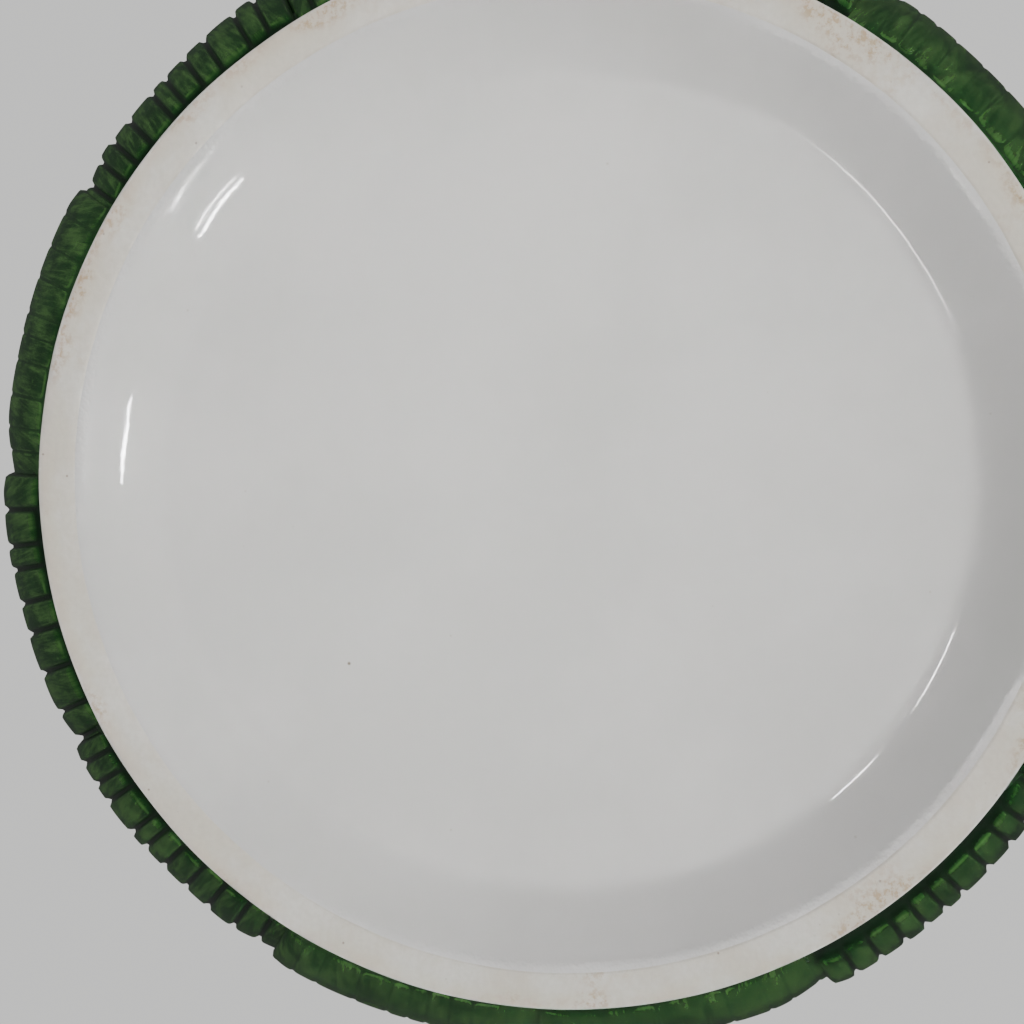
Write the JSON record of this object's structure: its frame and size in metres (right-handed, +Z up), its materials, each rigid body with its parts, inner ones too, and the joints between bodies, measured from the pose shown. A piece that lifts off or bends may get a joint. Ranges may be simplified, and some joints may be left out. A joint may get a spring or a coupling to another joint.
{
  "type": "soup tureen",
  "caption": "Round leaf-clad ceramic soup tureen on a dry foot, with loop handles, a domed lift-off lid with a bud knob, and a ladle standing in the lid's notch.",
  "frame": {"origin": "centre of the foot's resting plane, on the axis of the bowl", "axes": "+Z up along the bowl's axis, +X through the right handle and the lid's ladle notch"},
  "size_m": [0.324, 0.254, 0.2153],
  "materials": {
    "white_glaze": "glossy clear glaze over a white body",
    "rim_glaze": "glossy clear glaze",
    "dry_foot": "unglazed, wiped and a little stained",
    "dark_green": "glossy hand-painted dark green glaze",
    "leaf_green": "glossy hand-painted green glaze, darker in the grooves",
    "lid_leaf_green": "glossy hand-painted green glaze, darker in the grooves",
    "stem_green": "glossy hand-painted green glaze",
    "bud_green": "glossy hand-painted light green glaze"
  },
  "bodies": {
    "tureen": {"bowl_wall": "white_glaze", "bowl_base": "white_glaze", "base_cove": "white_glaze", "foot_ring": "dry_foot", "foot_collar": "dark_green", "bowl_rim": "rim_glaze", "handle_left": "stem_green", "handle_right": "stem_green", "wall_leaf_01": "leaf_green", "wall_leaf_02": "leaf_green", "wall_leaf_03": "leaf_green", "wall_leaf_04": "leaf_green", "wall_leaf_05": "leaf_green", "wall_leaf_06": "leaf_green", "wall_leaf_07": "leaf_green", "wall_leaf_08": "leaf_green", "wall_leaf_09": "leaf_green", "wall_leaf_10": "leaf_green", "wall_leaf_11": "leaf_green", "wall_leaf_12": "leaf_green"},
    "lid": {"lid_shell": "white_glaze", "lid_flange": "white_glaze", "knob_collar": "dark_green", "knob_bud": "bud_green", "lid_leaf_01": "lid_leaf_green", "lid_leaf_02": "lid_leaf_green", "lid_leaf_03": "lid_leaf_green", "lid_leaf_04": "lid_leaf_green", "lid_leaf_05": "lid_leaf_green", "lid_leaf_06": "lid_leaf_green", "lid_leaf_07": "lid_leaf_green", "lid_leaf_08": "lid_leaf_green"},
    "ladle": {"ladle_cup": "white_glaze", "ladle_shaft": "stem_green", "ladle_grip": "bud_green"}
  },
  "joints": [
    {"name": "lid_lift", "type": "slide", "parent": "tureen", "child": "lid", "axis": [0, 0, 1], "range_m": [0, 0.15]},
    {"name": "ladle_lift", "type": "slide", "parent": "tureen", "child": "ladle", "axis": [0.5299, 0, 0.848], "range_m": [0, 0.07]}
  ]
}
